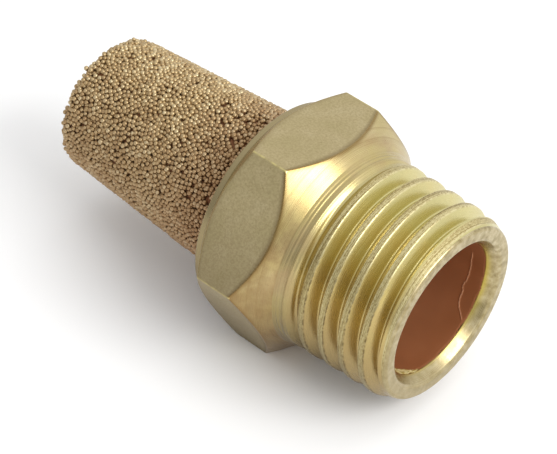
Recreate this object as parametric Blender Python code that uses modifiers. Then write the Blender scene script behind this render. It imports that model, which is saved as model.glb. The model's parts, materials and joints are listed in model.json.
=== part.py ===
"""Pneumatic muffler: a brass hexagon nipple with a taper pipe thread, and a sintered bronze cup pressed in.

Both pieces are turned or moulded round one axis. Each is modelled along its own Z, with zero at the
hexagon's front shoulder, the thread towards +Z and the cup towards -Z. An empty lays that axis along +X.
"""

import math

import bmesh
import bpy
from mathutils import Matrix

MM = 0.001

# Hexagon bar, turned to a chamfer at each end and to a short collar behind. The insets are how far
# the turned faces start below the flats.
HEX_ACROSS_FLATS = 15.0 * MM
HEX_LENGTH = 5.85 * MM
BACK_COLLAR_INSET = 0.27 * MM
BACK_COLLAR_LENGTH = 0.4 * MM
BACK_CHAMFER_DEG = 38.0
FRONT_SHOULDER_INSET = 0.63 * MM
FRONT_CHAMFER_DEG = 45.0

# Threaded spigot. Its thread is left plain, as the cone over the crests.
THREAD_GAUGE_DIAMETER = 13.157 * MM
THREAD_GAUGE_FROM_END = 6.0 * MM
THREAD_TAPER = 1.0 / 16.0
THREAD_LENGTH = 8.4 * MM
THREAD_END_RADIUS = 5.94 * MM
THREAD_END_CHAMFER = 1.3 * MM
NECK_LENGTH = 0.5 * MM
NECK_FLARE = 0.08 * MM

# Through bore, from the countersunk mouth back to the seat of the cup.
BORE_DIAMETER = 9.2 * MM
MOUTH_DIAMETER = 10.14 * MM
MOUTH_COUNTERSINK = 0.75 * MM
SEAT_DEPTH = 4.4 * MM
SEAT_LEAD_IN = 0.15 * MM

# Sintered cup: a straight skirt in the seat, then a taper to a closed, rounded end.
CUP_BASE_DIAMETER = 11.42 * MM
CUP_NARROWS_BY = 1.76 * MM
CUP_PROUD_LENGTH = 14.7 * MM
CUP_END_FILLET = 0.95 * MM
CUP_WALL = 1.8 * MM
CUP_END_WALL = 2.2 * MM
CUP_INNER_FILLET = 0.8 * MM
CUP_FIT_GAP = 0.3 * MM

# Mesh fineness, and how far a cutter runs past what it cuts.
ROUND_STEPS = 72
FILLET_STEPS = 5
OVERRUN = 1.0 * MM
CHAMFER_OVERRUN = 0.2 * MM
WELD = 0.01 * MM


def start_collections():
    """Clears the scene and makes one collection for the parts and one for their cutters."""
    for old in list(bpy.data.objects):
        bpy.data.objects.remove(old, do_unlink=True)
    made = []
    for name in ("pneumatic_muffler", "muffler_cutters"):
        collection = bpy.data.collections.new(name)
        bpy.context.scene.collection.children.link(collection)
        made.append(collection)
    return made


def muffler_axis(collection):
    """The empty that every piece hangs on: its Z is the muffler's axis, laid along the world's X."""
    axis = bpy.data.objects.new("muffler_axis", None)
    axis.empty_display_size = CUP_PROUD_LENGTH / 2
    axis.rotation_euler = (0.0, math.pi / 2, 0.0)
    collection.objects.link(axis)
    return axis


def metal(name, colour, roughness, metallic):
    material = bpy.data.materials.new(name)
    material.use_nodes = True
    shader = material.node_tree.nodes["Principled BSDF"]
    shader.inputs["Base Color"].default_value = (*colour, 1.0)
    shader.inputs["Roughness"].default_value = roughness
    shader.inputs["Metallic"].default_value = metallic
    material.diffuse_color = (*colour, 1.0)
    return material


def place(name, mesh, collection, axis):
    piece = bpy.data.objects.new(name, mesh)
    piece.parent = axis
    collection.objects.link(piece)
    return piece


def turned(name, profile, collection, axis):
    """A solid of revolution. Its (r, z) points run down the outer side, and both ends lie on the axis."""
    mesh = bpy.data.meshes.new(name)
    points = [(r, 0.0, z) for r, z in profile]
    mesh.from_pydata(points, [(i, i + 1) for i in range(len(points) - 1)], [])
    piece = place(name, mesh, collection, axis)
    screw = piece.modifiers.new("turn", "SCREW")
    screw.axis = "Z"
    screw.angle = math.tau
    screw.steps = ROUND_STEPS
    screw.render_steps = ROUND_STEPS
    screw.use_merge_vertices = True
    screw.merge_threshold = WELD
    screw.use_smooth_shade = True
    return piece


def combine(piece, tool, operation):
    """Adds an exact Boolean to piece, and keeps the tool out of the render."""
    boolean = piece.modifiers.new(f"{operation.lower()}_{tool.name}", "BOOLEAN")
    boolean.operation = operation
    boolean.solver = "EXACT"
    boolean.object = tool
    tool.hide_render = True
    tool.display_type = "WIRE"


def shade(piece, material):
    """Gives the piece its metal, and normals that stay flat on the flats and smooth on the turned faces."""
    piece.data.materials.append(material)
    weighted = piece.modifiers.new("even_shading", "WEIGHTED_NORMAL")
    weighted.keep_sharp = True


def fillet(centre_r, centre_z, radius, start_deg, end_deg):
    """Points (r, z) along an arc. Zero degrees points away from the axis, and 90 points along +Z."""
    points = []
    for step in range(FILLET_STEPS + 1):
        angle = math.radians(start_deg + (end_deg - start_deg) * step / FILLET_STEPS)
        points.append((centre_r + radius * math.cos(angle), centre_z + radius * math.sin(angle)))
    return points


def hex_corner_radius():
    return HEX_ACROSS_FLATS / 2 / math.cos(math.pi / 6)


def hex_bar(collection, axis):
    """The bar stock: a hexagonal prism, with one pair of its flats facing up and down."""
    mesh = bpy.data.meshes.new("threaded_hex_body")
    shape = bmesh.new()
    bmesh.ops.create_cone(
        shape,
        cap_ends=True,
        segments=6,
        radius1=hex_corner_radius(),
        radius2=hex_corner_radius(),
        depth=HEX_LENGTH,
        matrix=Matrix.Translation((0.0, 0.0, -HEX_LENGTH / 2)),
    )
    shape.to_mesh(mesh)
    shape.free()
    return place("threaded_hex_body", mesh, collection, axis)


def chamfer_envelope(collection, axis):
    """What the lathe leaves of the hexagon: a chamfer in front, a chamfer and a collar behind."""
    beyond = hex_corner_radius() + CHAMFER_OVERRUN
    shoulder_radius = HEX_ACROSS_FLATS / 2 - FRONT_SHOULDER_INSET
    collar_radius = HEX_ACROSS_FLATS / 2 - BACK_COLLAR_INSET
    front_slope = math.tan(math.radians(FRONT_CHAMFER_DEG))
    back_slope = math.tan(math.radians(BACK_CHAMFER_DEG))
    collar_z = -HEX_LENGTH + BACK_COLLAR_LENGTH
    profile = [
        (0.0, OVERRUN),
        (shoulder_radius - OVERRUN / front_slope, OVERRUN),
        (beyond, -(beyond - shoulder_radius) * front_slope),
        (beyond, collar_z + (beyond - collar_radius) * back_slope),
        (collar_radius, collar_z),
        (collar_radius, -HEX_LENGTH - OVERRUN),
        (0.0, -HEX_LENGTH - OVERRUN),
    ]
    return turned("chamfer_envelope", profile, collection, axis)


def thread_radius(z):
    """Radius over the thread's crests at z: the gauge radius at the gauge plane, less the taper beyond it."""
    gauge_z = THREAD_LENGTH - THREAD_GAUGE_FROM_END
    return THREAD_GAUGE_DIAMETER / 2 - (z - gauge_z) * THREAD_TAPER / 2


def thread_spigot(collection, axis):
    """The spigot: a neck under the hexagon, the cone over the crests, and the lead chamfer."""
    chamfer_z = THREAD_LENGTH - THREAD_END_CHAMFER
    root_radius = thread_radius(NECK_LENGTH) + 2 * NECK_FLARE
    profile = [
        (0.0, THREAD_LENGTH),
        (THREAD_END_RADIUS, THREAD_LENGTH),
        (thread_radius(chamfer_z), chamfer_z),
        (thread_radius(NECK_LENGTH), NECK_LENGTH),
        (root_radius, -NECK_LENGTH),
        (root_radius, -HEX_LENGTH / 2),
        (0.0, -HEX_LENGTH / 2),
    ]
    return turned("thread_spigot", profile, collection, axis)


def seat_z():
    """Where the counterbore ends, and the cup's skirt stops just short of it."""
    return -HEX_LENGTH + SEAT_DEPTH


def bore_cutter(collection, axis):
    """The countersunk mouth, the bore, and the counterbore that the cup's skirt is pressed into.

    The countersink and the lead-in run on past the end faces, so that no corner lies on a face.
    """
    mouth_slope = (MOUTH_DIAMETER - BORE_DIAMETER) / 2 / MOUTH_COUNTERSINK
    seat_radius = CUP_BASE_DIAMETER / 2 + CUP_FIT_GAP
    profile = [
        (0.0, THREAD_LENGTH + OVERRUN),
        (MOUTH_DIAMETER / 2 + mouth_slope * OVERRUN, THREAD_LENGTH + OVERRUN),
        (BORE_DIAMETER / 2, THREAD_LENGTH - MOUTH_COUNTERSINK),
        (BORE_DIAMETER / 2, seat_z()),
        (seat_radius, seat_z()),
        (seat_radius, -HEX_LENGTH + SEAT_LEAD_IN),
        (seat_radius + SEAT_LEAD_IN + OVERRUN, -HEX_LENGTH - OVERRUN),
        (0.0, -HEX_LENGTH - OVERRUN),
    ]
    return turned("bore_cutter", profile, collection, axis)


def threaded_hex_body(parts, cutters, axis):
    body = hex_bar(parts, axis)
    combine(body, chamfer_envelope(cutters, axis), "INTERSECT")
    combine(body, thread_spigot(cutters, axis), "UNION")
    combine(body, bore_cutter(cutters, axis), "DIFFERENCE")
    shade(body, metal("turned_brass", (0.52, 0.43, 0.21), 0.34, 1.0))
    return body


def sintered_bronze_cup(parts, axis):
    """The porous cup. Its cavity follows its outside at one wall thickness, and opens into the bore."""
    rim_z = seat_z() - CUP_FIT_GAP
    end_z = -HEX_LENGTH - CUP_PROUD_LENGTH
    base_radius = CUP_BASE_DIAMETER / 2
    end_radius = (CUP_BASE_DIAMETER - CUP_NARROWS_BY) / 2
    floor_z = end_z + CUP_END_WALL
    taper = (base_radius - end_radius) / CUP_PROUD_LENGTH
    floor_radius = end_radius + CUP_END_WALL * taper - CUP_WALL
    profile = [(0.0, floor_z)]
    profile += fillet(floor_radius - CUP_INNER_FILLET, floor_z + CUP_INNER_FILLET, CUP_INNER_FILLET, -90, 0)
    profile += [
        (base_radius - CUP_WALL, -HEX_LENGTH),
        (base_radius - CUP_WALL, rim_z),
        (base_radius, rim_z),
        (base_radius, -HEX_LENGTH),
    ]
    profile += fillet(end_radius - CUP_END_FILLET, end_z + CUP_END_FILLET, CUP_END_FILLET, 0, -90)
    profile.append((0.0, end_z))
    cup = turned("sintered_bronze_cup", profile, parts, axis)
    shade(cup, metal("sintered_bronze", (0.42, 0.27, 0.13), 0.6, 0.8))
    return cup


def main():
    parts, cutters = start_collections()
    axis = muffler_axis(parts)
    threaded_hex_body(parts, cutters, axis)
    sintered_bronze_cup(parts, axis)


main()
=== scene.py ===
# %% [markdown]
# # A pneumatic muffler in brass and sintered bronze
#
# A muffler like this screws into the exhaust port of an air valve. Air enters the open, threaded
# end and leaves through thousands of tiny gaps in a bronze cup, which takes the bang out of it.
# There are two pieces of metal: a brass hexagon nipple that is turned on a lathe, and a cup of
# bronze beads that are sintered together in a mould and pressed into the back of the nipple.
# This lesson builds the visible surface of both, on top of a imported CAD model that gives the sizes.

import json
import math
from itertools import combinations

import bpy
import numpy as np
from mathutils import Matrix, Vector
from mathutils.kdtree import KDTree

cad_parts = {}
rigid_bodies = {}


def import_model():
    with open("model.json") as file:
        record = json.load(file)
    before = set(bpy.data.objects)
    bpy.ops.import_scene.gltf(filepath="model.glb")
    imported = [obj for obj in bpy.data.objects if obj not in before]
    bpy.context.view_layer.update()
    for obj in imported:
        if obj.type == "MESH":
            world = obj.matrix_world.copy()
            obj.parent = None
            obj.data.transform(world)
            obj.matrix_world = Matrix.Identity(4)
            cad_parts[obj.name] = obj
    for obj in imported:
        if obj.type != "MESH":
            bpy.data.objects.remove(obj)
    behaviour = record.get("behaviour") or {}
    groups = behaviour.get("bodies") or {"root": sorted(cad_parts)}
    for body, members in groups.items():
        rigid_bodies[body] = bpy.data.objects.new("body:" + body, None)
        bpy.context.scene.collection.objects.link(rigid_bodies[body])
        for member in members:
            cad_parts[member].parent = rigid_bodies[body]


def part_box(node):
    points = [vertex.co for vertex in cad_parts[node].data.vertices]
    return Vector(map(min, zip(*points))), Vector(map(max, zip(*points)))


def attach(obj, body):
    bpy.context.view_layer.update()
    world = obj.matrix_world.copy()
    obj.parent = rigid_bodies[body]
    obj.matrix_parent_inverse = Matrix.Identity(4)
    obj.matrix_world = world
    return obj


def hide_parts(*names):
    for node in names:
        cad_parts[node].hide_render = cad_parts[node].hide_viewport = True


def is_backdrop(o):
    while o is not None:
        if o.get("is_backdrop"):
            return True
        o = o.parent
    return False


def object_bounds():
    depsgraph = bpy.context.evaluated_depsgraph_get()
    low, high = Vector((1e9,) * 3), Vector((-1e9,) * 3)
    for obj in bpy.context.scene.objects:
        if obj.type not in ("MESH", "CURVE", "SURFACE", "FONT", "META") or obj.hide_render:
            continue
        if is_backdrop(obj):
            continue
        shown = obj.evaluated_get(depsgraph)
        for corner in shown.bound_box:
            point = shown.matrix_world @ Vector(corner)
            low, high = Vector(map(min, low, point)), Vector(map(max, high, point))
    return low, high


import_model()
MM = 0.001
TAU = math.tau
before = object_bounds()
body_low, body_high = [np.array(v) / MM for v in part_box("threaded_hex_body")]
cup_low, cup_high = [np.array(v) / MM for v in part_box("sintered_bronze_cup")]
print("body from", body_low.round(2), "to", body_high.round(2), "mm")
print("cup from", cup_low.round(2), "to", cup_high.round(2), "mm")

# %% [markdown]
# ## Sizes
#
# The axis of the muffler is the world's X axis, and every length below is in millimetres. The
# overall sizes are read from the CAD boxes, so that the surface always fits them: the mouth of the
# thread is the highest X, the back of the hexagon is the lowest X of the body, and the flats face
# up and down. The other sizes are the lathe's: where a chamfer starts and how steep it is.

# %% Sizes
MOUTH_X = body_high[0]
BACK_X = body_low[0]
CUP_END_X = cup_low[0]
APOTHEM = body_high[2]
SHOULDER_RADIUS = APOTHEM - 0.63
COLLAR_RADIUS = APOTHEM - 0.27
COLLAR_LENGTH = 0.4
BACK_SLOPE = math.tan(math.radians(38))
NECK_LENGTH = 0.5
CREST_AT_NECK = 6.64
CREST_SLOPE = 1 / 32
END_RADIUS = 5.94
END_CHAMFER = 1.3
BORE_RADIUS = 4.6
MOUTH_RADIUS = 5.07
COUNTERSINK = 0.75
SEAT_RADIUS = 6.01
SEAT_X = BACK_X + 4.4
SEAT_LEAD = 0.15
whole_length, across_flats = float(MOUTH_X - CUP_END_X), float(2 * APOTHEM)
print("whole length", round(whole_length, 2), "mm,", round(across_flats, 2), "mm across flats")

# %% [markdown]
# ## The hexagon's radius at each angle
#
# The nipple is one closed sheet of quads that wraps round the axis, so every point has an angle.
# The angle is measured from +Y towards +Z. Bar stock never has knife edges, so the six corners
# are rounded with a small circle, and the angles are packed more closely there.

# %% Angles and the rounded hexagon
CORNER_ROUND = 0.14
STEP_DEG = 0.45
FINE_DEG = 0.12
CORNER_ZONE_DEG = 1.2


def body_angles():
    """Angles round the axis in radians: even ones, and closer ones over the six corners."""
    degrees = [np.arange(0, 360, STEP_DEG)]
    for corner in range(0, 360, 60):
        degrees.append(corner + np.arange(-CORNER_ZONE_DEG, CORNER_ZONE_DEG, FINE_DEG))
    return np.radians(np.unique(np.round(np.concatenate(degrees) % 360, 3)))


def hexagon_radius(phi):
    """Distance from the axis to a hexagon with rounded corners, with a corner at angle zero."""
    off = np.abs((phi + TAU / 12) % (TAU / 6) - TAU / 12)
    flat = APOTHEM / np.cos(TAU / 12 - off)
    centre = (APOTHEM - CORNER_ROUND) / math.cos(TAU / 12)
    ends = math.atan2(CORNER_ROUND * 0.5, centre + CORNER_ROUND * math.cos(TAU / 12))
    inside = np.clip(CORNER_ROUND**2 - (centre * np.sin(off)) ** 2, 0, None)
    arc = centre * np.cos(off) + np.sqrt(inside)
    return np.where(off < ends, arc, flat)


phi = body_angles()
hexagon = hexagon_radius(phi)
print(len(phi), "angles; radius over the corners", hexagon.max().round(3), "mm")

# %% [markdown]
# ## The thread
#
# A pipe thread is a helical groove cut into a cone. The height of the metal is a function of the
# angle and of X alone: each point looks up how far it is, in turns, from the middle of the groove.
# The groove is a V with rounded corners. It runs out as it nears the hexagon, where the tool is
# drawn back, and a chamfer at the mouth leads it into the port.

# %% Thread
PITCH = 1.53
GROOVE_X = 2.40
GROOVE_DEG = 46.4
GROOVE_DEPTH = 0.80
CREST_FLAT = 0.36
ROOT_FLAT = 0.10
THREAD_SOFT = 0.12
RUNOUT_START = 0.5
RUNOUT_END = 2.0
LAST_CUT = 7.75
FULL_FACE = 8.3


def smooth_step(t):
    """From 0 to 1 with a level start and end."""
    t = np.clip(t, 0, 1)
    return t * t * (3 - 2 * t)


def soft_ramp(t, width):
    """Zero below zero, t above it, and a parabola between."""
    return np.where(t < -width, 0, np.where(t > width, t, (t + width) ** 2 / (4 * width)))


def groove_turns(x, angle):
    """Turns from the nearest middle of the groove, from -0.5 to 0.5."""
    turns = (x - GROOVE_X) / PITCH - (angle - math.radians(GROOVE_DEG)) / TAU
    return turns - np.round(turns)


def groove(x, angle):
    """How far the thread's surface lies under its crests, in millimetres."""
    away = np.abs(groove_turns(x, angle)) * PITCH
    run = PITCH / 2 - CREST_FLAT / 2 - ROOT_FLAT / 2
    ramp = (away - ROOT_FLAT / 2) / run
    height = soft_ramp(ramp, THREAD_SOFT) - soft_ramp(ramp - 1, THREAD_SOFT)
    fade = smooth_step((x - RUNOUT_START) / (RUNOUT_END - RUNOUT_START))
    fade = fade * (1 - smooth_step((x - LAST_CUT) / (FULL_FACE - LAST_CUT)))
    return GROOVE_DEPTH * fade * (1 - height)


def crest_radius(x):
    """The cone over the thread's crests."""
    return CREST_AT_NECK - (x - NECK_LENGTH) * CREST_SLOPE


crest_there = crest_radius(4.0)
print("at X = 4 the crests have radius", crest_there, "and the groove", crest_there - GROOVE_DEPTH, "mm")

# %% [markdown]
# ## The tool's rings
#
# Next to the hexagon the tool is drawn back, which leaves shallow rings on the neck. Two sines of
# different pitch give rings that aren't quite even. They are drawn coarser than the feed of a real
# lathe, which would be too fine to see.

# %% Rings on the neck
RING_PITCH = 0.36
FINE_RING_PITCH = 0.21
RING_DEPTH = 0.022
RINGS_END = 1.1
RINGS_FADE = 0.9


def lathe_rings(x):
    """How far the rings stand above or below the turned surface."""
    near = 1 - smooth_step((x - RINGS_END) / RINGS_FADE)
    coarse = 0.6 * np.sin(TAU * x / RING_PITCH)
    fine = 0.4 * np.sin(TAU * x / FINE_RING_PITCH + 1.0)
    return RING_DEPTH * near * (coarse + fine)


# %% [markdown]
# ## The turned profile
#
# At each angle the metal has an outline from the mouth, over the thread and the hexagon, to the
# back, and through the bore to the mouth again. The outline is a closed chain of corners with a
# small fillet at each. Because the chamfers are cones and the flats are planes, the corner between
# them moves along X as the radius of the hexagon changes, which draws the curved edge of each flat.

# %% Corners of the outline
NECK_START = 0.07
x_crest_end = MOUTH_X - END_CHAMFER
x_front_edge = -(hexagon - SHOULDER_RADIUS)
x_back_edge = BACK_X + COLLAR_LENGTH + (hexagon - COLLAR_RADIUS) * BACK_SLOPE
# Each corner is X, radius, fillet, and how many rows the straight side after it gets.
CORNERS = [
    (MOUTH_X, MOUTH_RADIUS, 0.34, 4),  # 0, the countersink's front edge
    (MOUTH_X, END_RADIUS, 0.24, 44),  # 1, the end face's outer edge
    (x_crest_end, crest_radius(x_crest_end), 0.20, 190),  # 2, where the crests begin
    (NECK_LENGTH, CREST_AT_NECK, 0.15, 16),  # 3, the neck
    (NECK_START, SHOULDER_RADIUS - NECK_START, 0.22, 24),  # 4, the shoulder under the front chamfer
    (x_front_edge, hexagon, 0.14, 14),  # 5, the front edge of the flats
    (x_back_edge, hexagon, 0.14, 10),  # 6, the back edge of the flats
    (BACK_X + COLLAR_LENGTH, COLLAR_RADIUS, 0.05, 4),  # 7, the collar
    (BACK_X, COLLAR_RADIUS, 0.08, 6),  # 8, the collar's end
    (BACK_X, SEAT_RADIUS + SEAT_LEAD, 0.04, 2),  # 9, the lead-in
    (BACK_X + SEAT_LEAD, SEAT_RADIUS, 0.04, 6),  # 10, the seat's start
    (SEAT_X, SEAT_RADIUS, 0.10, 4),  # 11, the seat's end
    (SEAT_X, BORE_RADIUS, 0.08, 14),  # 12, the bore's back edge
    (MOUTH_X - COUNTERSINK, BORE_RADIUS, 0.12, 24),  # 13, the countersink's back edge
]
# The numbers that are asked for later. A row on a straight side has the number of the corner
# before it plus SIDE.
FACE_EDGE, NECK, SHOULDER, FRONT_EDGE, BACK_EDGE, COLLAR, COLLAR_END, BORE_BACK = 1, 3, 4, 5, 6, 7, 8, 12
SIDE = 0.5
print(len(CORNERS), "corners, and", sum(corner[3] for corner in CORNERS), "rows on the straight sides")

# %% [markdown]
# ## Rows along the outline
#
# A fillet is drawn as a conic through three points: where it leaves one side, the corner, and
# where it joins the next side. The weight of the corner makes it a true circular arc. Each
# straight side gets its own number of rows, and one close to each of its ends, so that the
# shading stays flat up to the fillet.

# %% Outline of the body
ARC_POINTS = 5
SUPPORT = 0.03
# The groove is cut this much less deep, so that it never reaches the crests themselves.
CUT_SLACK = 0.02


def rounded_outline(corners, angles):
    """Rows of (x, radius) along the outline, one column per angle, and each row's own corner."""
    n = len(corners)
    points = [np.stack(np.broadcast_arrays(c[0] + 0 * angles, c[1] + 0 * angles)) for c in corners]
    rows = []
    owner = []
    tangents = []
    for i in range(n):
        here = points[i]
        back = points[i - 1] - here
        ahead = points[(i + 1) % n] - here
        back_length = np.hypot(*back)
        ahead_length = np.hypot(*ahead)
        cosine = (back * ahead).sum(0) / (back_length * ahead_length)
        half = np.arccos(np.clip(cosine, -1, 1)) / 2
        reach = np.minimum(corners[i][2] / np.tan(half), 0.45 * np.minimum(back_length, ahead_length))
        start = here + back / back_length * reach
        end = here + ahead / ahead_length * reach
        tangents.append((start, end, np.sin(half)))
    for i in range(n):
        start, end, weight = tangents[i]
        for s in np.linspace(0, 1, ARC_POINTS):
            a, b, c = (1 - s) ** 2, 2 * s * (1 - s) * weight, s * s
            rows.append((a * start + b * points[i] + c * end) / (a + b + c))
            owner.append(i)
        follows = tangents[(i + 1) % n][0]
        length = np.hypot(*(follows - end))
        edge = np.minimum(SUPPORT / length, 0.2)
        for k in range(corners[i][3]):
            share = edge + (1 - 2 * edge) * k / max(1, corners[i][3] - 1)
            rows.append(end + (follows - end) * share)
            owner.append(i + SIDE)
    rows = np.array(rows)
    return rows[:, 0], rows[:, 1], np.array(owner)


row_x, row_r, row_side = rounded_outline(CORNERS, phi)
spigot = (row_side >= FACE_EDGE) & (row_side <= NECK)
cut_r = crest_radius(row_x) - groove(row_x, phi[None, :])
row_r = np.where(spigot[:, None], np.minimum(row_r, cut_r + CUT_SLACK), row_r)
turned_by_neck = (row_side >= FACE_EDGE) & (row_side <= NECK + SIDE)
row_r = row_r + np.where(turned_by_neck[:, None], lathe_rings(row_x), 0.0)
print(len(row_x), "rows along the outline,", row_x.size, "points")

# %% [markdown]
# ## Meshes from arrays
#
# The outline is closed and so is the turn, so the quads wrap both ways and the mesh has no open
# edge. Values that a finish needs later, such as how near a point is to an edge, are stored on the
# points as named attributes.

# %% Mesh builders
def mesh_from_arrays(name, points, faces):
    """A smooth-shaded mesh in metres, from points in millimetres and equal-sized faces."""
    mesh = bpy.data.meshes.new(name)
    mesh.vertices.add(len(points))
    mesh.vertices.foreach_set("co", (points * MM).astype(np.float32).ravel())
    corners = faces.shape[1]
    mesh.loops.add(faces.size)
    mesh.loops.foreach_set("vertex_index", faces.astype(np.int32).ravel())
    mesh.polygons.add(len(faces))
    mesh.polygons.foreach_set("loop_start", np.arange(0, faces.size, corners, dtype=np.int32))
    mesh.polygons.foreach_set("use_smooth", np.full(len(faces), True))
    mesh.update(calc_edges=True)
    return mesh


def add_attribute(mesh, name, values):
    """Stores one value for each point, for a finish to look up by this name."""
    layer = mesh.attributes.new(name, "FLOAT", "POINT")
    layer.data.foreach_set("value", np.asarray(values, np.float32).ravel())


def ring_faces(rows, columns):
    """Quads of a grid that wraps round both its rows and its columns."""
    i = np.arange(rows)[:, None]
    j = np.arange(columns)[None, :]
    up, side = (i + 1) % rows, (j + 1) % columns
    quads = [i * columns + j, i * columns + side, up * columns + side, up * columns + j]
    return np.stack(np.broadcast_arrays(*quads), -1).reshape(-1, 4)


def around(x, r, angles):
    """Points at X and radius x, r, turned to the angles."""
    x, r, angles = np.broadcast_arrays(x, r, angles)
    return np.stack([x, r * np.cos(angles), r * np.sin(angles)], -1).reshape(-1, 3)


def place(name, mesh, materials, node):
    """One piece of the object, riding on the fixed body, and standing for a CAD node if one is named."""
    piece = bpy.data.objects.new(name, mesh)
    bpy.context.scene.collection.objects.link(piece)
    for material in materials:
        mesh.materials.append(material)
    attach(piece, "root")
    if node:
        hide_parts(node)


# %% [markdown]
# ## Colours and nodes
#
# Every finish is procedural: it is worked out from a point's place on the metal and from the
# attributes that its mesh carries. One helper adds a node with its settings and its links, and
# hands back one of its outputs. Colours are written as sRGB hex and turned to linear light in one
# place. A pattern's size is a real one in millimetres, which becomes the scale of its noise.

# %% Colours and nodes
# Sockets of a Mix node that blends two colours: how far, from which, to which, and the result.
HOW_FAR, FROM, TO, BLENDED = 0, 6, 7, 2


def linear(hex_colour):
    """Linear RGBA from an sRGB hex colour such as c8a050."""
    channels = [int(hex_colour[i : i + 2], 16) / 255 for i in (0, 2, 4)]
    return [c / 12.92 if c <= 0.04045 else ((c + 0.055) / 1.055) ** 2.4 for c in channels] + [1.0]


def per_mm(size):
    """The scale of a noise whose blobs are about this many millimetres across."""
    return 1 / (size * MM)


def add(tree, kind, output, inputs, stops=(), **settings):
    """One output of a new ShaderNode of this kind.

    Each input is a number, a hex colour or another node's output, and goes into the socket it is
    paired with. The stops are a colour ramp's positions and hex colours.
    """
    node = tree.nodes.new("ShaderNode" + kind)
    for key, value in settings.items():
        setattr(node, key, value)
    for socket, value in inputs.items():
        if isinstance(value, bpy.types.NodeSocket):
            tree.links.new(value, node.inputs[socket])
        else:
            node.inputs[socket].default_value = linear(value) if isinstance(value, str) else value
    while stops and len(node.color_ramp.elements) < len(stops):
        node.color_ramp.elements.new(0.5)
    for count, (position, colour) in enumerate(stops):
        node.color_ramp.elements[count].position = position
        node.color_ramp.elements[count].color = linear(colour)
    return node.outputs[output]


def start_material(name):
    material = bpy.data.materials.new(name)
    material.use_nodes = True
    return material, material.node_tree, material.node_tree.nodes["Principled BSDF"]


print("the brass starts from linear", [round(c, 3) for c in linear("c0af7c")[:3]])

# %% [markdown]
# ## The places that a finish looks up
#
# The lathe leaves rings: everything on one circle round the axis looks alike, so its patterns are
# read at X and radius instead of X, Y and Z. The metal is painted darker and browner below and
# towards -Y, as painted shade, so the other patterns need to know how high up a point is on that slant.

# %% Rings, and the lit side and the painted shade below
# Millimetres along the slant for each metre of X, Y and Z. It leans from up towards +Y.
SLANT = (0.0, 450.0, 900.0)


def places(tree):
    """The point itself, and a vector of its X and radius, constant on every circle round the axis."""
    position = add(tree, "TexCoord", "Object", {})
    x, y, z = [add(tree, "SeparateXYZ", letter, {"Vector": position}) for letter in "XYZ"]
    across = add(tree, "CombineXYZ", "Vector", {"Y": y, "Z": z})
    radius = add(tree, "VectorMath", "Value", {0: across}, operation="LENGTH")
    return position, add(tree, "CombineXYZ", "Vector", {"X": x, "Y": radius})


def side_height(tree, position):
    """Height in millimetres along the slant, from the painted-shade side below to the lit top."""
    return add(tree, "VectorMath", "Value", {0: position, 1: SLANT}, operation="DOT_PRODUCT")


def painted_underside_shade(tree, position, lit, darker, most):
    """How much painted shade the metal gets: none above the lit height, and most below the darker one."""
    heights = {"From Min": lit, "From Max": darker, "To Max": most}
    return add(tree, "MapRange", "Result", {"Value": side_height(tree, position), **heights})


# %% [markdown]
# ## Turned brass: the bare metal
#
# The body is free-cutting brass. It is a metal, so its colour is the colour of its reflections,
# and it keeps the default IOR. The first layer is a pale yellow with slow clouds in it, with
# stains of about a millimetre, and with darker bands that follow the lathe's rings.

# %% Turned brass, bare
def bare_brass(tree, position, rings, clouds):
    colour = add(
        tree, "ValToRGB", "Color", {"Fac": clouds}, [(0.30, "bba970"), (0.52, "c0af7c"), (0.74, "c6b688")]
    )
    along = add(tree, "Mapping", "Vector", {"Vector": position, "Scale": (1.0, 0.5, 0.5)})
    stain = add(tree, "TexNoise", "Fac", {"Vector": along, "Scale": per_mm(1.1), "Detail": 4.0})
    stains = {"From Min": 0.48, "From Max": 0.70, "To Max": 0.55}
    stained = add(tree, "MapRange", "Result", {"Value": stain, **stains})
    colour = add(tree, "Mix", BLENDED, {HOW_FAR: stained, FROM: colour, TO: "ab8b66"}, data_type="RGBA")
    band = add(tree, "TexNoise", "Fac", {"Vector": rings, "Scale": per_mm(0.30)})
    bands = {"From Min": 0.50, "From Max": 0.66, "To Max": 0.45}
    banded = add(tree, "MapRange", "Result", {"Value": band, **bands})
    return add(tree, "Mix", BLENDED, {HOW_FAR: banded, FROM: colour, TO: "9c8457"}, data_type="RGBA")
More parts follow.
